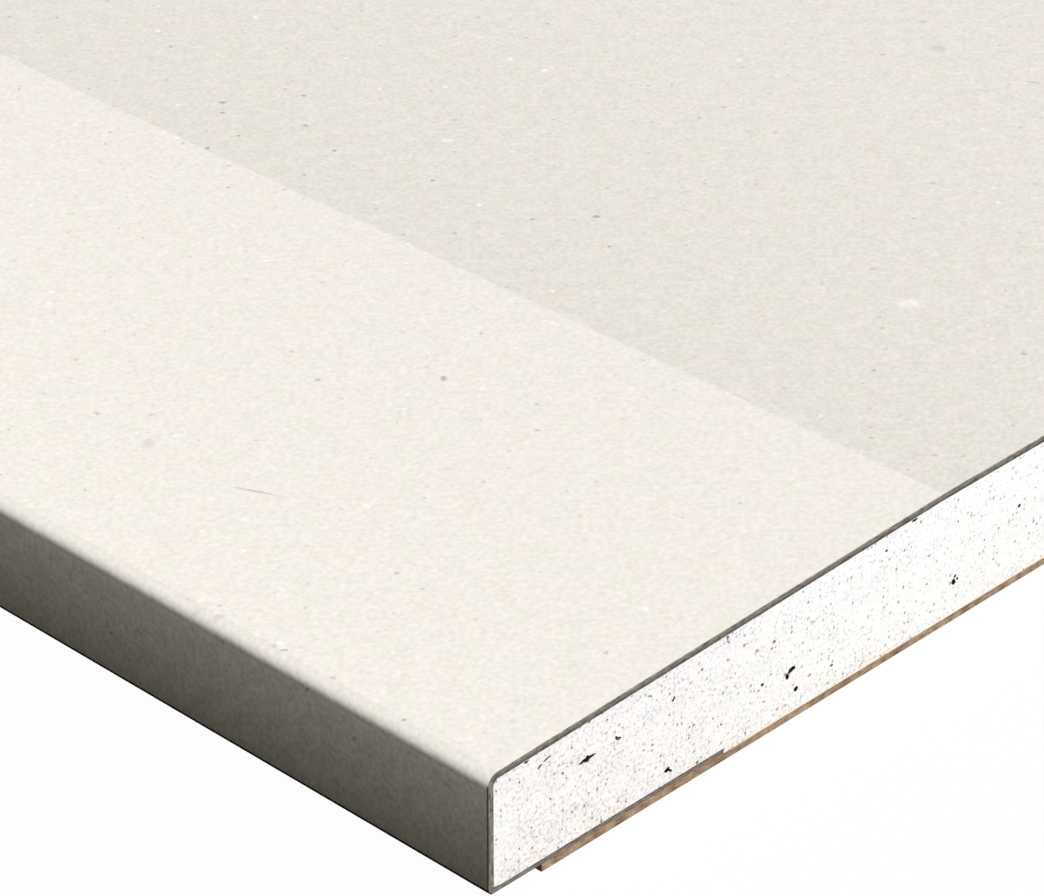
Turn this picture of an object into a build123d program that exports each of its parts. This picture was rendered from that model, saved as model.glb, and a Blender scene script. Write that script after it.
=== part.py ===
"""A tapered-edge drywall sheet, lying flat with its face up.

A white gypsum core lies between two papers. The face paper covers the top, turns down
both long edges and is folded under the sheet. The back paper is flat, and is glued to
the core and over both folds. The two short ends are cut square and show all three.

X is across the sheet, Y along it and Z up, in millimetres. The origin is on the
underside of the back paper, at the sheet's centre.
"""

from build123d import *
import os

# The whole sheet
sheet_width = 1200.0
sheet_length = 2400.0
sheet_thickness = 12.5

# The face slopes down to each long edge, which leaves room there for tape and filler
taper_width = 50.0
taper_depth = 1.5

# The face paper, and the core's corners that it turns round
face_paper_thickness = 0.55
arris_radius = 0.55
heel_radius = 0.05
fold_width = 25.0

# The back paper, whose edges stop short of the long edges
back_paper_thickness = 0.7
back_paper_setback = 5.5

# Section of the sheet above the back paper, one half and then the other
half_width = sheet_width / 2
bed_height = back_paper_thickness
edge_height = sheet_thickness - taper_depth
right_corners = [
    (half_width, bed_height),
    (half_width, edge_height),
    (half_width - taper_width, sheet_thickness),
]
left_corners = [(-x, z) for x, z in reversed(right_corners)]
right_corner_radii = [
    heel_radius + face_paper_thickness,
    arris_radius + face_paper_thickness,
    0,
]
outline = right_corners + left_corners
outline_radii = right_corner_radii + right_corner_radii[::-1]

# The cut edges of the two folds, where the face paper's outer line starts and ends
right_fold_edge = (half_width - fold_width, bed_height)
left_fold_edge = (-half_width + fold_width, bed_height)

with BuildPart() as face_paper:
    with BuildSketch(Plane.XZ) as paper_section:
        with BuildLine():
            FilletPolyline(right_fold_edge, *outline, left_fold_edge, radius=outline_radii)
            offset(amount=face_paper_thickness, side=Side.LEFT)
        make_face()
    extrude(amount=sheet_length / 2, both=True)
face_paper.part.label = "face_paper"

with BuildPart() as gypsum_core:
    with BuildSketch(Plane.XZ):
        with BuildLine():
            FilletPolyline(*outline, radius=outline_radii, close=True)
        make_face()
        add(paper_section.sketch_local, mode=Mode.SUBTRACT)
    extrude(amount=sheet_length / 2, both=True)
gypsum_core.part.label = "gypsum_core"

with BuildPart() as back_paper:
    with BuildSketch(Plane.XY):
        Rectangle(sheet_width - 2 * back_paper_setback, sheet_length)
    extrude(amount=back_paper_thickness)
back_paper.part.label = "back_paper"

os.makedirs("parts", exist_ok=True)
for piece in (face_paper.part, gypsum_core.part, back_paper.part):
    export_step(piece, f"parts/{piece.label}.step")
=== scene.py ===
import math

import bmesh
import bpy
import numpy as np
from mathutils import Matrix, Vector
from mathutils.geometry import delaunay_2d_cdt


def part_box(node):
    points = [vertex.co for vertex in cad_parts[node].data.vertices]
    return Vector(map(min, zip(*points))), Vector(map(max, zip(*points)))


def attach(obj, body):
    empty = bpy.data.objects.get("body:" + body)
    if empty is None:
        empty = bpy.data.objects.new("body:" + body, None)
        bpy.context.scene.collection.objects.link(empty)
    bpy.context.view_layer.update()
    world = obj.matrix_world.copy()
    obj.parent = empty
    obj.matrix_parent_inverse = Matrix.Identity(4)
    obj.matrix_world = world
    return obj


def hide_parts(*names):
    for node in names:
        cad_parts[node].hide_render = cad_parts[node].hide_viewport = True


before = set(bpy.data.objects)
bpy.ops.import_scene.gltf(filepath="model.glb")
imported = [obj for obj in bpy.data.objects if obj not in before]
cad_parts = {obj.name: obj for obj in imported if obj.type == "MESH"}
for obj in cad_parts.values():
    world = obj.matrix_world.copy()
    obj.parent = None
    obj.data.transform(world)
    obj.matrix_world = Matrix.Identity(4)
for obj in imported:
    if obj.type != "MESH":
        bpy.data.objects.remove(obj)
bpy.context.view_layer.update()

# Face paper
# One web of ivory paper, felted from waste paper, with specks of ink and stray fibres in it. It
# covers the top, turns down both long edges and is folded under the sheet. The knife that cut
# the sheet to length left the paper's grey plies bare at both ends.
MM = 0.001
web_low, web_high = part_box("face_paper")
half_width = web_high.x
half_length = web_high.y
sheet_top = web_high.z
bed_height = web_low.z
cut_swell = 1.06
face_thickness = cut_swell * (sheet_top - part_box("gypsum_core")[1].z)
taper_width = 50 * MM
taper_depth = 1.5 * MM
taper_slope = math.atan2(taper_depth, taper_width)
fold_width = 25 * MM
fold_squeeze = 0.80
arris_radius = 1.1 * MM
heel_radius = 0.6 * MM
heel_sag = 0.02 * MM
corner_steps = 12
column_width = 0.6 * MM
cut_wander = 0.03 * MM
wander_columns = 4
sharp_angle = math.radians(25)


def arc(middle, radius, start, end):
    """Points round a corner of the section, from one angle to another, as (x, z)."""
    turns = np.linspace(start, end, corner_steps)
    return [(middle[0] + radius * math.cos(t), middle[1] + radius * math.sin(t)) for t in turns]


def face_line(inset):
    """The face paper's section at a depth under its outer face, from one fold to the other."""
    arris_height = sheet_top - taper_depth - arris_radius * math.tan(math.pi / 4 - taper_slope / 2)
    heel_middle = (half_width - heel_radius, bed_height + heel_radius - heel_sag)
    heel = arc(heel_middle, heel_radius - inset, -math.pi / 2, 0)
    fold_height = bed_height + fold_squeeze * inset
    half = [(half_width - fold_width, fold_height), (half_width - 2 * heel_radius, fold_height)]
    # The squeezed fold takes the place of the heel's first two points
    half += heel[2:]
    arris_middle = (half_width - arris_radius, arris_height)
    half += arc(arris_middle, arris_radius - inset, 0, math.pi / 2 - taper_slope)
    crease = half_width - taper_width - inset * math.tan(taper_slope / 2)
    half.append((crease, sheet_top - inset))
    return np.array(half + [(-x, z) for x, z in reversed(half)])


def add_piece(name, points, faces, finishes, face_finish, values):
    """A closed mesh with a finish for each face and named values at its points, on the sheet."""
    mesh = bpy.data.meshes.new(name)
    mesh.from_pydata(points, [], faces)
    for finish in finishes:
        mesh.materials.append(finish)
    mesh.polygons.foreach_set("material_index", face_finish)
    for value_name, value in values.items():
        attribute = mesh.attributes.new(value_name, "FLOAT", "POINT")
        attribute.data.foreach_set("value", np.asarray(value, np.float32))
    shell = bmesh.new()
    shell.from_mesh(mesh)
    bmesh.ops.recalc_face_normals(shell, faces=shell.faces)
    shell.to_mesh(mesh)
    shell.free()
    mesh.polygons.foreach_set("use_smooth", np.ones(len(mesh.polygons), bool))
    mesh.set_sharp_from_angle(angle=sharp_angle)
    piece = bpy.data.objects.new(name, mesh)
    bpy.context.scene.collection.objects.link(piece)
    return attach(piece, "root")


def uneven(rng, count, run, amount):
    """A gently wandering line of numbers from 0 to amount, with a new turn every few steps."""
    knots = rng.random(count // run + 2)
    return amount * np.interp(np.arange(count) / run, np.arange(len(knots)), knots)


def add_paper(name, line_at, thickness, cut_rows, column, finishes, seed):
    """A web of paper: a section carried along the sheet, with both ends cut by a knife.

    cut_rows goes across a cut end from the paper's outer face to its inner one, as shares of the
    thickness with how far each row stands back from the cut.
    """
    outer = line_at(0)
    lengths = np.linalg.norm(np.diff(outer, axis=0), axis=1)
    counts = np.maximum(1, np.ceil(lengths / column)).astype(int)
    columns = int(counts.sum()) + 1
    run = np.concatenate([[0], np.cumsum(np.repeat(lengths / counts, counts))])
    across = half_width + run[-1] / 2 - run

    def fine_line(inset):
        """The section at that depth, with a point at each column."""
        line = line_at(inset)
        parts = []
        for i, n in enumerate(counts):
            parts.append(line[i] + np.outer(np.arange(n) / n, line[i + 1] - line[i]))
        return np.vstack([*parts, line[-1:]])

    rng = np.random.default_rng(seed)
    rows = []
    for end in (-1, 1):
        for share, setback in cut_rows[::-end]:
            line = fine_line(share * thickness)
            back = setback + uneven(rng, columns, wander_columns, cut_wander) * (0 < share < 1)
            row = np.column_stack([line[:, 0], end * (half_length - back), line[:, 1]])
            rows.append((share, row))
    points = np.vstack([row for _, row in rows])
    place = np.arange(len(points)).reshape(len(rows), columns)
    after = np.roll(place, -1, axis=0)
    quads = np.stack([place[:, :-1], place[:, 1:], after[:, 1:], after[:, :-1]], -1)
    # Two of the strips between rows are the paper's own faces, and the others are cut
    is_cut = np.ones(len(rows), int)
    is_cut[[len(cut_rows) - 1, -1]] = 0
    faces = quads.reshape(-1, 4).tolist() + [place[:, 0].tolist(), place[:, -1].tolist()]
    face_finish = np.concatenate([np.repeat(is_cut, columns - 1), [1, 1]])
    shares = np.repeat([share for share, _ in rows], columns)
    values = {"ply": shares, "across": np.tile(across, len(rows))}
    return add_piece(name, points, faces, finishes, face_finish, values)


class Shade:
    """A socket of a finish. Arithmetic on shades adds Math nodes, and node() adds any other."""

    def __init__(self, tree, socket=None):
        self.tree = tree
        self.socket = socket

    def node(self, kind, settings, sockets, output=0):
        """Adds a node with those settings and inputs, and gives one of its outputs."""
        made = self.tree.nodes.new(kind)
        for name, value in settings.items():
            setattr(made, name, value)
        for name, value in sockets.items():
            if isinstance(value, Shade):
                self.tree.links.new(value.socket, made.inputs[name])
            else:
                made.inputs[name].default_value = value
        return Shade(self.tree, made.outputs[output] if made.outputs else None)

    def also(self, output):
        """Another output of the node that this shade comes from."""
        return Shade(self.tree, self.socket.node.outputs[output])

    def math(self, operation, first, second=0.0):
        """One operation of a Math node, on shades or numbers."""
        return self.node("ShaderNodeMath", {"operation": operation}, {0: first, 1: second})

    def __add__(self, other):
        return self.math("ADD", self, other)

    def __radd__(self, other):
        return self.math("ADD", other, self)

    def __sub__(self, other):
        return self.math("SUBTRACT", self, other)

    def __rsub__(self, other):
        return self.math("SUBTRACT", other, self)

    def __mul__(self, other):
        return self.math("MULTIPLY", self, other)

    def __rmul__(self, other):
        return self.math("MULTIPLY", other, self)

    def __abs__(self):
        return self.math("ABSOLUTE", self)

    def step(self, start, end, kind="SMOOTHSTEP"):
        """0 on the start's side, 1 on the end's and a slope between them."""
        return self.node(
            "ShaderNodeMapRange",
            {"interpolation_type": kind},
            {"Value": self, "From Min": start, "From Max": end},
        )

    def mix(self, colour, other):
        """One colour where this is 0 and the other where it is 1."""
        return self.node(
            "ShaderNodeMix", {"data_type": "RGBA"}, {"Factor": self, 6: colour, 7: other}, 2
        )

    def scaled(self, factor):
        """This colour or vector times a number."""
        return self.node("ShaderNodeVectorMath", {"operation": "SCALE"}, {0: self, "Scale": factor})

    def times(self, other):
        """This colour or vector times another, part by part."""
        return self.node("ShaderNodeVectorMath", {"operation": "MULTIPLY"}, {0: self, 1: other})

    def moved(self, offset):
        """This vector plus another."""
        return self.node("ShaderNodeVectorMath", {"operation": "ADD"}, {0: self, 1: offset})

    def axis(self, name):
        """One part of this vector: X, Y or Z."""
        return self.node("ShaderNodeSeparateXYZ", {}, {0: self}, name)


def new_finish(name):
    """A bare material, and a shade to start it from."""
    material = bpy.data.materials.new(name)
    material.use_nodes = True
    material.node_tree.nodes.clear()
    return material, Shade(material.node_tree)


def set_matte(colour, roughness, relief, relief_depth):
    """Ends a finish in a matte shader with that colour and relief."""
    normal = colour.node(
        "ShaderNodeBump", {}, {"Height": relief, "Strength": 1.0, "Distance": relief_depth}
    )
    shader = colour.node(
        "ShaderNodeBsdfPrincipled",
        {},
        {"Base Color": colour, "Roughness": roughness, "Specular IOR Level": 0.0, "Normal": normal},
    )
    colour.node("ShaderNodeOutputMaterial", {}, {"Surface": shader})


def turned(place, turn):
    """The place, measured along axes that are turned by that angle."""
    return place.node(
        "ShaderNodeMapping", {"vector_type": "TEXTURE"}, {"Vector": place, "Rotation": (0, 0, turn)}
    )


def mottle(place, length, width, detail=2.0):
    """Soft blotches of that length along X and width along Y, from 0 to 1 and mostly near 0.5."""
    spread = place.node(
        "ShaderNodeVectorMath", {"operation": "MULTIPLY"}, {0: place, 1: (1 / length, 1 / width, 0)}
    )
    return place.node(
        "ShaderNodeTexNoise",
        {"noise_dimensions": "2D"},
        {"Vector": spread, "Scale": 1.0, "Detail": detail},
    )


def ragged(place, size, amount):
    """The place, pushed about by up to half that amount, which makes outlines there ragged."""
    push = place.node(
        "ShaderNodeTexNoise",
        {"noise_dimensions": "2D"},
        {"Vector": place, "Scale": 1 / size, "Detail": 1.0},
        "Color",
    )
    return place.moved(push.moved((-0.5, -0.5, -0.5)).scaled(amount))


def tinted(colour, place, size, amount):
    """The colour with patches of that size, each a little redder, greener or bluer."""
    tints = place.node(
        "ShaderNodeTexNoise",
        {"noise_dimensions": "2D"},
        {"Vector": place, "Scale": 1 / size, "Detail": 1.0},
        "Color",
    )
    return colour.times(tints.scaled(amount).moved((1 - amount / 2,) * 3))


def specks(place, cell, share, radius):
    """Up to 1 inside scattered specks. A share of the cells have one, of up to that radius."""
    faintest = 0.3
    blur = 0.4
    dots = place.node(
        "ShaderNodeTexVoronoi",
        {"voronoi_dimensions": "2D"},
        {"Vector": place, "Scale": 1 / cell},
        "Distance",
    )
    chance = dots.also("Color").axis("X")
    size = (chance - (1 - share)) * (radius / cell / share)
    shade = dots.also("Color").axis("Y")
    strength = faintest + (1 - faintest) * shade * shade
    return (size - dots).step(0, blur * radius / cell) * strength


def marks(place, turn, ovals):
    """1 inside oval marks, each (along, up, length, width) in millimetres, and all turned."""
    outside, inside = 1.1, 0.5
    far_off = 9.0
    nearest = far_off
    c, s = math.cos(turn), math.sin(turn)
    for along, up, length, width in ovals:
        scale = (2 / (length * MM), 2 / (width * MM))
        middle = ((along * c + up * s) * MM, (up * c - along * s) * MM)
        spot = place.node(
            "ShaderNodeVectorMath",
            {"operation": "MULTIPLY_ADD"},
            {0: place, 1: (*scale, 0), 2: (-middle[0] * scale[0], -middle[1] * scale[1], 0)},
        )
        reach = place.node("ShaderNodeVectorMath", {"operation": "LENGTH"}, {0: spot}, "Value")
        nearest = place.math("MINIMUM", reach, nearest)
    return nearest.step(outside, inside)


def web_place(start):
    """Where a point is on the paper: along the web from the near edge, and from the near end."""
    across = start.node("ShaderNodeAttribute", {"attribute_name": "across"}, {}, "Fac")
    length = start.node("ShaderNodeTexCoord", {}, {}, "Object").axis("Y") + half_length
    return start.node("ShaderNodeCombineXYZ", {}, {"X": across, "Y": length})


# Marks near the corner, in millimetres: distance from the long edge, which is below 0 down that
# edge, then distance from the cut end, length and width
white_flecks = ((71.51, 21.53, 2.6, 1.8), (66.20, 70.32, 1.2, 0.9))
dark_specks = (
    (57.43, 90.37, 0.75, 0.60),
    (56.04, 88.85, 0.55, 0.45),
    (36.27, 40.77, 0.56, 1.05),
    (64.81, 50.78, 0.75, 0.60),
    (59.76, 65.72, 0.50, 0.40),
    (59.45, 81.57, 0.65, 0.50),
    (61.52, 46.26, 0.50, 0.40),
    (63.53, 86.17, 0.50, 0.45),
    (57.82, 76.09, 0.60, 0.50),
    (53.90, 84.39, 0.50, 0.45),
    (1.14, 22.05, 0.62, 0.36),
    (0.91, 9.33, 0.55, 0.32),
    (1.86, 29.84, 0.48, 0.28),
    (-0.76, 18.41, 0.55, 0.42),
    (-0.83, 27.48, 0.38, 0.36),
    (-2.73, 13.55, 0.50, 0.44),
    (-5.82, 40.35, 0.60, 0.46),
)
smudges = (
    (111.46, 51.19, 1.6, 1.5),
    (13.53, 51.01, 1.3, 1.7),
    (0.30, 30.73, 0.9, 0.6),
    (0.82, 28.83, 1.0, 0.8),
    (-5.42, 40.73, 0.9, 0.6),
)
hairs = ((14.50, 39.45, 4.8, 0.30), (112.00, 40.25, 2.0, 0.26))


def face_paper_finish():
    """Ivory paper with rosy, straw and greenish patches, a fine felt and scattered specks.

    The tapers carry painted light, most of all towards the arrises, and the arrises carry a
    painted highlight and shade. Down the long edges painted shade darkens towards the floor, and
    it is black along the heel.
    """
    rosy_ivory = (0.820, 0.778, 0.7503, 1)
    straw_ivory = (0.820, 0.782, 0.7359, 1)
    untinted = (1, 1, 1, 1)
    greenish = (0.975, 1.007, 1.0, 1)
    # Painted shade down the long edges, darker towards the floor
    side_painted_shade = (0.495, 0.491, 0.455)
    roughness = 0.85
    relief_depth = 0.02 * MM
    side_smoothing = 0.6
    # Directions on the paper, and sizes as length and width
    grain_turn = -math.pi / 4
    hair_turn = math.radians(-67)
    fibre_size = (0.52 * MM, 0.50 * MM)
    felt_size = (0.45 * MM, 0.45 * MM)
    flock_size = (1.8 * MM, 1.4 * MM)
    patch_size = (2.4 * MM, 3.8 * MM)
    moss_size = (3.0 * MM, 4.6 * MM)
    wave_size = (9 * MM, 9 * MM)
    drift_size = (60 * MM, 300 * MM)
    tint_size = 4 * MM
    rag_size = 0.35 * MM
    # How much each grain changes the field's tone, and what the taper and the side add to that
    fibre_depth = (0.245, -0.02, -0.12)
    felt_depth = (0.09, 0, 0.36)
    flock_depth = (0.115, -0.04, 0.165)
    drift_depth = 0.03
    # Painted light: what the taper adds to the tone and what the arris adds, which is partly lost
    # down the side. Then the sheet's own tone, which rises a little from the crease inwards
    taper_painted_light = 0.097
    arris_painted_light = 0.0385
    side_painted_light_loss = 0.4
    near_tone = 0.993
    far_light = 0.014
    # How the patches are shared out. A lean above 0 makes more of them straw-coloured
    patch_blend = (0.42, 0.62)
    crease_lean = 0.04
    far_lean = -0.11
    taper_lean = -0.167
    arris_lean = 0.161
    moss_blend = (0.50, 0.71)
    taper_moss_loss = 0.88
    tint_amount = 0.024
    # Where things set in and are full, as distances from the long edge, below 0 down that edge
    crease_wave = 0.3 * MM
    crease_blur = 0.15 * MM
    side_bounds = (-0.2 * MM, -0.6 * MM)
    # Painted shade down the long edge, darker towards the floor
    side_shade_bounds = (-1.2 * MM, -8.8 * MM)
    # Painted shade, black along the heel where it faces the floor
    heel_shade_bounds = (-9.32 * MM, -9.37 * MM)
    heel_painted_shade = 0.985
    # Painted highlight and shade over the arris: each change of tone, and the distances where it
    # sets in and is full
    arris_shading_wave = 0.25 * MM
    arris_painted_shading = (
        (-0.05, 1.15 * MM, 0.95 * MM),
        (0.05, 0.80 * MM, 0.60 * MM),
        (0.105, 0.75 * MM, 0.10 * MM),
        (-0.28, -0.10 * MM, -0.50 * MM),
        (0.165, -0.60 * MM, -0.95 * MM),
    )
    # A dark rim down the long edge, as distances from the near cut end
    rim_bounds = (0.16 * MM, 0.02 * MM)
    rim_darkness = 0.7
    # Scattered specks: the size of a cell, the share of the cells that have one, and the radius
    large_specks = (8 * MM, 0.35, 0.34 * MM)
    small_specks = (2.2 * MM, 0.42, 0.28 * MM)
    pale_specks = (3 * MM, 0.3, 0.36 * MM)

    material, start = new_finish("face_paper")
    place = web_place(start)
    grain_place = turned(place, grain_turn)
    edge = half_width - abs(place.axis("X") - half_width)
    fibres = mottle(grain_place, *fibre_size, 3) - 0.5
    felt = mottle(place, *felt_size, 1) - 0.5
    flocks = mottle(grain_place, *flock_size, 1) - 0.5
    patches = mottle(grain_place, *patch_size, 2)
    drift = mottle(place, *drift_size, 1) - 0.5
    wave = mottle(place, *wave_size, 1) - 0.5
    creased = edge + crease_wave * wave
    on_taper = creased.step(taper_width + crease_blur, taper_width - crease_blur)
    on_side = edge.step(*side_bounds)

    def depth(field, taper_adds, side_adds):
        """A grain's depth at each place."""
        return field + taper_adds * on_taper + side_adds * on_side

    grain = fibres * depth(*fibre_depth) + felt * depth(*felt_depth)
    tone = 1 + grain + flocks * depth(*flock_depth) + drift_depth * drift
    rise = edge.step(taper_width, 0, "LINEAR") * (1 - side_painted_light_loss * on_side)
    far_in = edge.step(taper_width, 2 * taper_width, "LINEAR")
    # Painted light on the tapers, strongest towards the arrises
    tone = tone * (1 + (taper_painted_light + arris_painted_light * rise) * on_taper)
    tone = tone * (near_tone + far_light * far_in)
    # Painted highlight and shade over the arris, as it turns from the taper down the side
    arris_shading_edge = edge + arris_shading_wave * flocks
    arris_shading = 1
    for change, sets_in, full in arris_painted_shading:
        arris_shading = arris_shading + change * arris_shading_edge.step(sets_in, full)
    tone = tone * arris_shading
    tone = tone * (1 - rim_darkness * (place.axis("Y").step(*rim_bounds) * on_side))
    # Painted shade along the heel
    tone = tone * (1 - heel_painted_shade * edge.step(*heel_shade_bounds))

    # Each mark's strength, and where it is
    rough_place = ragged(grain_place, rag_size, rag_size)
    darker = (
        (0.38, specks(rough_place, *large_specks)),
        (0.29, specks(rough_place, *small_specks)),
        (0.38, marks(rough_place, grain_turn, dark_specks)),
        (0.13, marks(rough_place, grain_turn, smudges)),
        (0.26, marks(turned(place, hair_turn), hair_turn, hairs)),
    )
    lighter = (
        (0.15, marks(rough_place, grain_turn, white_flecks)),
        (0.24, specks(rough_place, *pale_specks)),
    )
    for strength, where in darker:
        tone = tone * (1 - strength * where)
    for strength, where in lighter:
        tone = tone + strength * where

    lean = crease_lean + far_lean * far_in + (arris_lean * rise + taper_lean) * on_taper
    lean = lean * (1 - on_side)
    colour = (patches + lean).step(*patch_blend).mix(rosy_ivory, straw_ivory)
    moss = mottle(grain_place, *moss_size).step(*moss_blend) * (1 - taper_moss_loss * on_taper)
    colour = colour.times(moss.mix(untinted, greenish))
    colour = tinted(colour, grain_place, tint_size, tint_amount).scaled(tone)
    # Painted shade down the long edge, darker towards the floor
    colour = edge.step(*side_shade_bounds, "LINEAR").mix(colour, colour.times(side_painted_shade))
    set_matte(colour, roughness, fibres * (1 - side_smoothing * on_side), relief_depth)
    return material


def cut_plies_finish():
    """The bare edge of the face paper: grey plies in streaks, darkest next to the core.

    Down the long edge the dark line is along the outer face instead, and the fold is browner.
    """
    rim = (0.25, 0.23, 0.20, 1)
    side_rim = (0.025, 0.023, 0.017, 1)
    outer_grey = (0.202, 0.188, 0.161, 1)
    inner_grey = (0.112, 0.103, 0.086, 1)
    fold_inner = (0.170, 0.155, 0.137, 1)
    fold_outer = (0.225, 0.180, 0.140, 1)
    roughness = 0.9
    relief_depth = 0.02 * MM
    streak_size = (1.4 * MM, 0.12 * MM)
    streak_depth = 1.7
    lump_size = (0.6 * MM, 0.3 * MM)
    lump_depth = 1.3
    # Distances from the long edge, below 0 down that edge
    side_bounds = (0.2 * MM, -0.5 * MM)
    fold_bounds = (-13 * MM, -15 * MM)
    # Shares of the paper's thickness, from its outer face, or from the core for the side's rim
    inner_bounds = (0.45, 0.85)
    inner_shift = 0.6
    rim_bounds = (0.25, 0.03)
    side_rim_bounds = (0.77, 0.90)
    fold_plies = (0.2, 0.8)

    material, start = new_finish("face_paper_plies")
    ply = start.node("ShaderNodeAttribute", {"attribute_name": "ply"}, {}, "Fac")
    across = start.node("ShaderNodeAttribute", {"attribute_name": "across"}, {}, "Fac")
    edge = half_width - abs(across - half_width)
    along = start.node("ShaderNodeCombineXYZ", {}, {"X": across, "Y": ply * face_thickness})
    streaks = mottle(along, *streak_size, 3) - 0.5
    lumps = mottle(along, *lump_size) - 0.5
    on_side = edge.step(*side_bounds)
    body = (ply - inner_shift * on_side).step(*inner_bounds).mix(outer_grey, inner_grey)
    body = (ply + on_side).step(*rim_bounds).mix(body, rim)
    body = (on_side - ply).step(*side_rim_bounds).mix(body, side_rim)
    fold = ply.step(*fold_plies).mix(fold_outer, fold_inner)
    body = edge.step(*fold_bounds).mix(body, fold)
    colour = body.scaled(1 + streak_depth * streaks + lump_depth * lumps)
    set_matte(colour, roughness, streaks, relief_depth)
    return material


# Rows across a cut end: share of the paper's thickness, and how far back from the cut
face_cut_rows = (
    (0.0, 0.04 * MM),
    (0.06, 0.01 * MM),
    (0.2, 0.0),
    (0.5, 0.01 * MM),
    (0.8, 0.0),
    (1.0, 0.01 * MM),
)
face_paper = add_paper(
    "face_paper_web",
    face_line,
    face_thickness,
    face_cut_rows,
    column_width,
    (face_paper_finish(), cut_plies_finish()),
    seed=3,
)
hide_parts("face_paper")

# Gypsum core
# White gypsum, foamed and set between the papers, so that its cut ends are full of air bubbles.
# Most are as fine as dust. The knife opened a few large ones, and all the pits carry painted shade
# inside.
core_low, core_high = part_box("gypsum_core")
core_margin = 0.15 * MM
# Pores are five-sided pits, one at most in each cell. Ranges are for random draws, and depth and
# reach are shares of a pore's radius
pore_steps = 5
pore_cell = 1.8 * MM
pore_chance = 0.75
pore_radii = (0.06 * MM, 0.15 * MM)
pore_sizes = (0.6, 1.0)
pore_corners = (0.75, 1.0)
pore_stretch = (1.0, 1.5)
pore_reach = 1.6
pore_depths = (1.0, 1.6)
# How dark a pore's inside is, as painted shade in the hollow
pore_painted_shade = (0.1, 0.5)
void_growth = 0.05 * MM
void_margin = 0.15 * MM
void_depth = 1.2
# The large voids near the corner: how dark the painted shade inside each is, and its outline as
# distance from the long edge and height, in millimetres
voids = (
    (
        1.0, (9.28, 7.50), (9.60, 7.36), (9.90, 7.42), (10.05, 7.30), (10.30, 7.26),
        (10.50, 7.42), (10.80, 7.46), (11.04, 7.55), (10.92, 7.66), (10.75, 7.70), (10.35, 7.74),
        (10.12, 7.88), (9.98, 7.72), (9.75, 7.70), (9.50, 7.62),
    ),
    (
        1.0, (18.44, 2.33), (18.58, 2.17), (18.75, 2.10), (18.95, 2.12), (19.12, 1.95),
        (19.25, 1.98), (19.13, 2.19), (18.99, 2.26), (19.00, 2.42), (18.86, 2.50), (18.62, 2.42),
    ),
    (
        0.95, (31.86, 4.28), (31.92, 4.08), (32.06, 3.94), (32.20, 3.98), (32.22, 4.14),
        (32.14, 4.30), (32.02, 4.44),
    ),
    (
        0.95, (32.14, 4.50), (32.34, 4.36), (32.62, 4.42), (32.92, 4.50), (32.84, 4.76),
        (32.58, 4.84), (32.28, 4.76),
    ),
    (
        1.0, (32.90, 2.60), (33.00, 2.42), (33.16, 2.38), (33.32, 2.50), (33.30, 2.70),
        (33.12, 2.78), (32.96, 2.72),
    ),
    (
        1.0, (51.52, 3.68), (51.68, 3.48), (51.86, 3.40), (52.03, 3.50), (51.94, 3.72),
        (51.84, 3.92), (51.66, 3.94), (51.55, 3.82),
    ),
    (0.7, (51.26, 3.72), (51.33, 3.62), (51.38, 3.70), (51.38, 3.80), (51.31, 3.82)),
    (0.9, (51.76, 4.10), (51.88, 4.00), (52.02, 4.06), (51.98, 4.24), (51.84, 4.26)),
    (0.85, (52.09, 3.80), (52.20, 3.68), (52.33, 3.68), (52.27, 3.86), (52.15, 3.93)),
    (1.0, (59.46, 7.22), (59.58, 7.08), (59.76, 7.08), (59.80, 7.26), (59.62, 7.34)),
    (
        1.0, (3.66, 10.46), (3.80, 10.36), (3.92, 10.28), (4.04, 10.36), (4.14, 10.46),
        (3.90, 10.48),
    ),
    (
        1.0, (46.14, 11.70), (46.28, 11.60), (46.52, 11.55), (46.76, 11.62), (46.84, 11.72),
        (46.62, 11.76), (46.34, 11.76),
    ),
    (
        0.88, (13.10, 7.98), (13.20, 7.72), (13.48, 7.58), (13.70, 7.64), (13.62, 7.78),
        (13.36, 7.90), (13.18, 8.04),
    ),
    (
        0.95, (19.10, 8.26), (19.22, 8.16), (19.34, 8.22), (19.44, 8.40), (19.30, 8.54),
        (19.24, 8.36),
    ),
    (0.85, (5.06, 9.28), (5.18, 9.18), (5.40, 9.32), (5.50, 9.42), (5.36, 9.48), (5.18, 9.42)),
    (
        0.8, (5.66, 9.53), (5.88, 9.50), (6.10, 9.57), (6.42, 9.67), (6.14, 9.76), (5.86, 9.72),
        (5.70, 9.64),
    ),
    (0.9, (29.03, 4.84), (29.18, 4.72), (29.36, 4.74), (29.28, 4.92), (29.12, 4.94)),
    (0.8, (30.26, 8.10), (30.42, 7.98), (30.56, 8.04), (30.48, 8.18), (30.34, 8.22)),
    (
        0.7, (24.98, 11.06), (25.02, 10.90), (25.04, 10.74), (25.18, 10.74), (25.18, 10.90),
        (25.18, 11.06),
    ),
    (0.5, (25.06, 10.62), (25.14, 10.40), (25.28, 10.32), (25.32, 10.42), (25.20, 10.60)),
    (0.7, (22.22, 9.44), (22.34, 9.32), (22.46, 9.38), (22.42, 9.52), (22.28, 9.54)),
    (0.85, (43.08, 10.38), (43.20, 10.26), (43.36, 10.28), (43.32, 10.42), (43.16, 10.46)),
    (0.85, (37.08, 2.80), (37.18, 2.66), (37.36, 2.70), (37.30, 2.86), (37.16, 2.88)),
)
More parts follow.
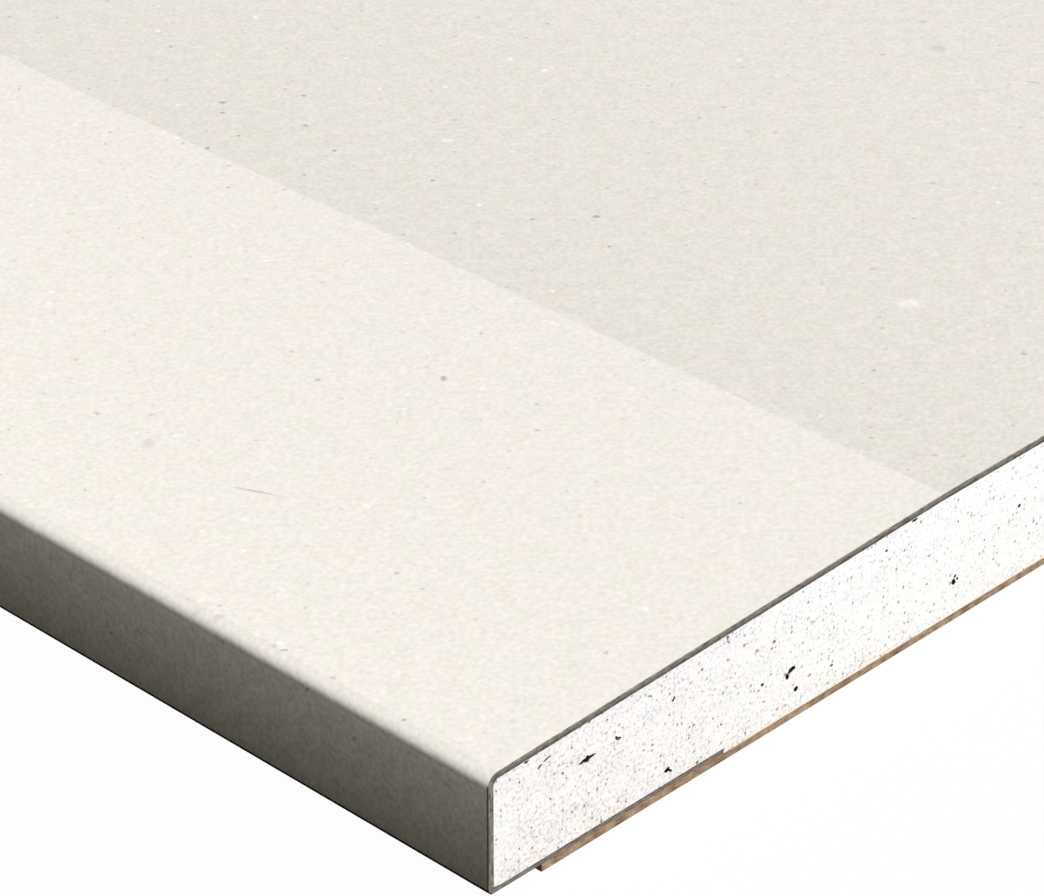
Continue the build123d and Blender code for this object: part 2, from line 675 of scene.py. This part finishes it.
# Smaller pores there: distance from the long edge and height, in millimetres
small_pores = (
    (11.35, 5.55), (21.10, 4.95), (21.05, 4.00), (23.70, 4.45), (24.60, 3.50), (21.75, 2.50),
    (16.85, 9.75), (3.18, 9.00), (3.15, 3.28), (34.85, 7.80), (39.40, 7.35), (45.50, 6.05),
    (48.40, 7.55), (48.40, 5.00), (51.90, 9.15), (33.55, 11.08), (55.40, 5.95), (8.00, 6.95),
    (12.30, 4.70), (6.35, 6.00), (8.65, 3.68), (41.60, 3.08), (45.85, 3.52), (57.40, 2.75),
    (29.40, 3.20), (12.20, 9.92), (46.30, 2.46),
)
small_pore_radius = 0.12 * MM
# How dark these pores are inside, as painted shade
small_pore_painted_shade = 0.7


def pit_outline(rng, x, z, radius):
    """An uneven oval round a point of the cut end, as (x, z)."""
    turns = np.arange(pore_steps) * 2 * np.pi / pore_steps
    reach = radius * rng.uniform(*pore_corners, pore_steps)
    u = rng.uniform(*pore_stretch) * reach * np.cos(turns)
    v = reach * np.sin(turns)
    lean = rng.uniform(0, math.pi)
    c, s = math.cos(lean), math.sin(lean)
    return np.column_stack([x + u * c - v * s, z + u * s + v * c])


def end_pits(end, rng):
    """One end's pits, each as an outline, a depth and how dark its painted shade is: large voids,
    then pores.
    """
    pits = []
    keep_off = []
    if end < 0:
        for painted_shade, *outline in voids:
            outline = np.array(outline) * MM - (half_width, 0)
            middle = outline.mean(0)
            reach = np.linalg.norm(outline - middle, axis=1)
            outline = middle + (outline - middle) * (1 + void_growth / reach.mean())
            keep_off.append((*middle, reach.max() + void_margin))
            pits.append((outline, void_depth * reach.mean(), painted_shade))
        for x, z in small_pores:
            middle = (x * MM - half_width, z * MM)
            keep_off.append((*middle, 2 * small_pore_radius))
            outline = pit_outline(rng, *middle, small_pore_radius)
            pits.append((outline, small_pore_radius, small_pore_painted_shade))
    for i in range(int((core_high.x - core_low.x) / pore_cell)):
        x_low = core_low.x + i * pore_cell
        edge = min(x_low + half_width, half_width - x_low - pore_cell)
        top = core_high.z - taper_depth * max(0, 1 - max(edge, 0) / taper_width)
        floor = core_low.z + face_thickness * (edge < fold_width)
        up = int((top - floor - 2 * core_margin) / pore_cell) if edge > arris_radius else 0
        for j in range(up):
            radius = rng.uniform(*pore_radii) * rng.uniform(*pore_sizes)
            room = pore_cell / 2 - pore_reach * radius
            x = x_low + pore_cell / 2 + rng.uniform(-room, room)
            z = floor + core_margin + (j + 0.5) * pore_cell + rng.uniform(-room, room)
            outline = pit_outline(rng, x, z, radius)
            depth = radius * rng.uniform(*pore_depths)
            painted_shade = rng.uniform(*pore_painted_shade)
            apart = pore_stretch[1] * radius
            clear = all(math.hypot(x - a, z - b) > r + apart for a, b, r in keep_off)
            if clear and rng.random() < pore_chance:
                pits.append((outline, depth, painted_shade))
    return pits


def add_core(name, finish, seed):
    """The core: the section inside the papers, with pits sunk in both of its cut ends.

    A pit goes in at a steep lip, as shares of its outline and of its depth, and then to a point.
    """
    lip = 0.96
    lip_depth = 0.2
    merge_reach = 1e-5
    rng = np.random.default_rng(seed)
    outline = face_line(face_thickness)
    bed = [(-half_width + fold_width, bed_height), (half_width - fold_width, bed_height)]
    outline = np.vstack([outline, bed])
    count = len(outline)
    points = []
    faces = []
    pit_shades = []
    rims = []
    for end in (-1, 1):
        pits = end_pits(end, rng)
        flat = np.vstack([outline] + [pit for pit, _, _ in pits]) / MM
        loops = [list(range(count))]
        start = count
        for pit, _, _ in pits:
            loops.append(list(range(start, start + len(pit))))
            start += len(pit)
        spots, _, cells, _, _, owners = delaunay_2d_cdt(
            [Vector(p) for p in flat], [], loops, 1, merge_reach, True
        )
        first = len(points)
        rims.append(first)
        points += [(p.x * MM, end * half_length, p.y * MM) for p in spots]
        pit_shades += [0.0] * len(spots)
        faces += [[first + i for i in cell] for cell, owner in zip(cells, owners) if owner == [0]]
        # Each pit's points carry how dark its painted shade is
        for (pit, depth, pit_shade), loop in zip(pits, loops[1:]):
            middle = pit.mean(0)
            ring = len(points)
            for p in middle + lip * (pit - middle):
                points.append((p[0], end * (half_length - lip_depth * depth), p[1]))
            points.append((middle[0], end * (half_length - depth), middle[1]))
            pit_shades += [pit_shade] * (len(pit) + 1)
            for i, rim in enumerate(loop):
                j = (i + 1) % len(pit)
                faces.append([first + rim, first + loop[j], ring + j, ring + i])
                faces.append([ring + i, ring + j, ring + len(pit)])
    for i in range(count):
        j = (i + 1) % count
        faces.append([rims[0] + i, rims[0] + j, rims[1] + j, rims[1] + i])
    return add_piece(name, points, faces, (finish,), np.zeros(len(faces), int), {"pit_shade": pit_shades})


def gypsum_finish():
    """White gypsum with dust-fine pores, brown stains and voids darkened with painted shade.

    It is rosier and more porous near the long edges, and creamier towards the back paper, where
    the glue has soaked in.
    """
    rosy_white = (0.935, 0.907, 0.900, 1)
    plain_white = (0.940, 0.938, 0.930, 1)
    creamier = (1.0, 0.994, 0.977, 1)
    whiter = (1.0, 1.010, 1.026, 1)
    pore_brown = (0.110, 0.078, 0.070, 1)
    # Painted shade inside the voids and pores
    void_painted_shade = (0.014, 0.010, 0.009, 1)
    stain_brown = (0.30, 0.15, 0.06, 1)
    glue_cream = (0.93, 0.85, 0.74, 1)
    blush = (0.90, 0.80, 0.77, 1)
    roughness = 0.95
    relief_depth = 0.1 * MM
    patch_size = (2.6 * MM, 2.6 * MM)
    tint_size = 2 * MM
    tint_amount = 0.07
    rag_size = 0.12 * MM
    rag_push = 0.16 * MM
    # Where the core changes: a distance from the long edge, heights, and bounds of the blends
    edge_reach = 60 * MM
    cream_bounds = (1 * MM, 11 * MM)
    low_bounds = (3.6 * MM, 0.8 * MM)
    rosy_patches = 0.8
    rosy_bounds = (0.75, 0.2)
    pit_shade_bounds = (0.05, 0.95)
    # Dust is darkest where there is most of it, and pores are scattered specks
    dust_size = (0.30 * MM, 0.30 * MM)
    dust_far_in = -0.12
    dust_patches = 0.30
    dust_low = 0.065
    dust_bounds = (0.45, 0.75)
    dust_darkness = 0.27
    pore_specks = (0.45 * MM, 0.42, 0.18 * MM)
    speck_darkness = 0.78
    speck_far_in = -0.12
    # The glue's seam over the back paper, and its waves
    seam_height = 0.40 * MM
    seam_wave = 0.9 * MM
    seam_wave_size = (3 * MM, 30 * MM)
    # Marks near the corner, in millimetres: distance from the long edge, height, length and width
    glue_spots = ((41.6, 0.95, 2.6, 1.1), (25.7, 0.9, 1.6, 0.7))
    glue_rims = ((40.80, 1.18, 1.1, 0.22),)
    glue_rim_strength = 0.5
    blushes = (
        (3.40, 8.75, 1.1, 0.7),
        (9.10, 8.05, 0.9, 0.5),
        (28.95, 8.10, 1.1, 0.8),
        (46.45, 11.50, 1.1, 0.4),
    )
    blush_strength = 0.7
    stains = ((31.80, 4.52, 0.6, 0.35), (32.14, 4.40, 0.5, 0.4), (28.45, 8.22, 0.5, 0.3))
    stain_turn = math.radians(-40)
    stain_strength = 0.75

    material, start = new_finish("gypsum_core")
    spot = start.node("ShaderNodeTexCoord", {}, {}, "Object")
    across = spot.axis("X") + half_width
    height = spot.axis("Z")
    place = start.node("ShaderNodeCombineXYZ", {}, {"X": across, "Y": height})
    rough_place = ragged(place, rag_size, rag_push)
    edge = half_width - abs(across - half_width)
    far_in = edge.step(0, edge_reach)
    patches = mottle(place, *patch_size) - 0.5
    rosy = (far_in + rosy_patches * patches).step(*rosy_bounds)
    dust = mottle(place, *dust_size, 1) + dust_far_in * far_in + dust_patches * patches
    dust = dust + dust_low * height.step(*low_bounds)
    pores = specks(rough_place, *pore_specks) * (speck_darkness + speck_far_in * far_in)
    shadow = dust_darkness * dust.step(*dust_bounds) + pores
    body = tinted(rosy.mix(plain_white, rosy_white), place, tint_size, tint_amount)
    body = body.times(height.step(*cream_bounds, "LINEAR").mix(creamier, whiter))
    body = (blush_strength * marks(rough_place, 0, blushes)).mix(body, blush)
    seam = height - seam_wave * (mottle(place, *seam_wave_size) - 0.5)
    soaked = seam.step(bed_height + seam_height, bed_height)
    glue = start.math("MAXIMUM", soaked, marks(rough_place, 0, glue_spots))
    body = glue.mix(body, glue_cream)
    body = shadow.mix(body, pore_brown)
    stained = stain_strength * marks(turned(rough_place, stain_turn), stain_turn, stains)
    rims = marks(turned(rough_place, -stain_turn), -stain_turn, glue_rims)
    body = (stained + glue_rim_strength * rims).mix(body, stain_brown)
    # Painted shade inside the pits, from the value at their points
    pit_shade = start.node("ShaderNodeAttribute", {"attribute_name": "pit_shade"}, {}, "Fac")
    colour = pit_shade.step(*pit_shade_bounds, "LINEAR").mix(body, void_painted_shade)
    set_matte(colour, roughness, patches, relief_depth)
    return material


gypsum_core = add_core("gypsum_core_cast", gypsum_finish(), seed=11)
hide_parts("gypsum_core")

# Back paper
# A flat web of brown kraft paper, glued to the core and over both folds of the face paper. It is
# cut with the sheet, and its streaky edge shows under the core.
back_low, back_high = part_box("back_paper")
back_thickness = back_high.z - back_low.z


def back_line(inset):
    """The back paper's section at a height above its underside, from one edge to the other."""
    return np.array([(back_high.x, back_low.z + inset), (back_low.x, back_low.z + inset)])


def kraft_finish(name, place):
    """Brown kraft paper, with lighter and darker fibres and greyish and orange patches."""
    light_kraft = (0.44, 0.322, 0.220, 1)
    dark_kraft = (0.225, 0.143, 0.086, 1)
    greyer = (0.90, 1.0, 1.14, 1)
    warmer = (1.10, 1.0, 0.86, 1)
    roughness = 0.9
    relief_depth = 0.03 * MM
    fibre_size = (1.2 * MM, 0.22 * MM)
    patch_size = (1.2 * MM, 0.9 * MM)
    kraft_blend = (0.30, 0.70)
    warmth_size = (0.7 * MM, 0.3 * MM)
    warmth_blend = (0.33, 0.67)
    felt_size = (0.25 * MM, 0.22 * MM)
    felt_depth = 0.6
    drift_size = (70 * MM, 350 * MM)
    drift_depth = 0.1

    material, start = new_finish(name)
    spot = place(start)
    fibres = mottle(spot, *fibre_size, 3)
    felt = mottle(spot, *felt_size) - 0.5
    patches = mottle(spot, *patch_size)
    drift = mottle(spot, *drift_size) - 0.5
    warmth = mottle(spot, *warmth_size).step(*warmth_blend)
    colour = (0.5 * fibres + 0.5 * patches).step(*kraft_blend).mix(dark_kraft, light_kraft)
    colour = colour.times(warmth.mix(greyer, warmer))
    colour = colour.scaled(1 + felt_depth * felt + drift_depth * drift)
    set_matte(colour, roughness, fibres + felt, relief_depth)
    return material


def cut_place(start):
    """Where a point is on the cut end of the back paper."""
    across = start.node("ShaderNodeAttribute", {"attribute_name": "across"}, {}, "Fac")
    ply = start.node("ShaderNodeAttribute", {"attribute_name": "ply"}, {}, "Fac")
    return start.node("ShaderNodeCombineXYZ", {}, {"X": across, "Y": ply * back_thickness})


back_cut_rows = (
    (0.0, 0.05 * MM),
    (0.15, 0.0),
    (0.5, 0.02 * MM),
    (0.85, 0.0),
    (1.0, 0.02 * MM),
)
back_paper = add_paper(
    "back_paper_web",
    back_line,
    back_thickness,
    back_cut_rows,
    column_width,
    (kraft_finish("back_paper", web_place), kraft_finish("back_paper_cut", cut_place)),
    seed=5,
)
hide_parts("back_paper")

# Floor and light
# A plain white floor under the sheet, a soft sun from the cut end's side, and a pale sky. The
# floor looks white and keeps the sheet's shadow, but sends little light back up.
floor_reach = 40.0
floor_white_share = 0.98
floor_pale = (0.95, 0.95, 0.95, 1)
floor_dull = (0.10, 0.10, 0.10, 1)
sun_towards = Vector((-0.03, -0.74, 0.67)).normalized()
sun_on_top = 0.852
sun_softness = math.radians(8)
sky_colour = (0.148, 0.146, 0.115, 1)
white = (1, 1, 1, 1)


def seen_directly(start):
    """1 for what the camera sees straight on, in a gloss or through glass, and 0 otherwise."""
    ray = start.node("ShaderNodeLightPath", {}, {}, "Is Camera Ray")
    seen = start.math("MAXIMUM", ray, ray.also("Is Glossy Ray"))
    return start.math("MAXIMUM", seen, ray.also("Is Transmission Ray"))


def floor_finish():
    """White to the camera, with a trace of the shadow, and dull to other light."""
    material, start = new_finish("floor")
    seen = seen_directly(start)
    dull = start.node("ShaderNodeBsdfDiffuse", {}, {"Color": floor_dull})
    pale = start.node("ShaderNodeBsdfDiffuse", {}, {"Color": floor_pale})
    glow = start.node("ShaderNodeEmission", {}, {"Color": white, "Strength": 1.0})
    shown = start.node("ShaderNodeMixShader", {}, {0: floor_white_share, 1: pale, 2: glow})
    surface = start.node("ShaderNodeMixShader", {}, {0: seen, 1: dull, 2: shown})
    start.node("ShaderNodeOutputMaterial", {}, {"Surface": surface})
    return material


floor_mesh = bpy.data.meshes.new("floor")
floor_mesh.from_pydata(
    [(x * floor_reach, y * floor_reach, 0) for x, y in ((-1, -1), (1, -1), (1, 1), (-1, 1))],
    [],
    [(0, 1, 2, 3)],
)
floor_mesh.materials.append(floor_finish())
floor = bpy.data.objects.new("floor", floor_mesh)
bpy.context.scene.collection.objects.link(floor)

sun = bpy.data.objects.new("sun", bpy.data.lights.new("sun", "SUN"))
sun.data.energy = math.pi * sun_on_top / sun_towards.z
sun.data.angle = sun_softness
sun.rotation_euler = sun_towards.to_track_quat("Z", "Y").to_euler()
bpy.context.scene.collection.objects.link(sun)

sky = bpy.data.worlds.new("sky")
sky.use_nodes = True
sky.node_tree.nodes.clear()
sky_start = Shade(sky.node_tree)
sky_light = sky_start.node(
    "ShaderNodeBackground", {}, {"Color": seen_directly(sky_start).mix(sky_colour, white)}
)
sky_start.node("ShaderNodeOutputWorld", {}, {"Surface": sky_light})
bpy.context.scene.world = sky

# Camera
# A long lens that looks down on the sheet's near corner, between its long edge and its cut end.
# Its place and its lens are those that fit the sheet's straight edges.
near_corner = Vector((-half_width, -half_length, 0))
camera_from_corner = Vector((-174.574, -173.275, 183.151)) * MM
camera_heading = math.radians(44.2258)
camera_pitch = math.radians(30.5893)
camera_lens = 147.901
camera_sensor = 36.0
nearest_seen = 10 * MM
camera = bpy.data.objects.new("camera", bpy.data.cameras.new("camera"))
camera.data.sensor_width = camera_sensor
camera.data.lens = camera_lens
camera.data.clip_start = nearest_seen
camera.location = near_corner + camera_from_corner
camera.rotation_euler = (math.pi / 2 - camera_pitch, 0, camera_heading - math.pi / 2)
bpy.context.scene.collection.objects.link(camera)
bpy.context.scene.camera = camera
bpy.context.scene.view_settings.view_transform = "Standard"
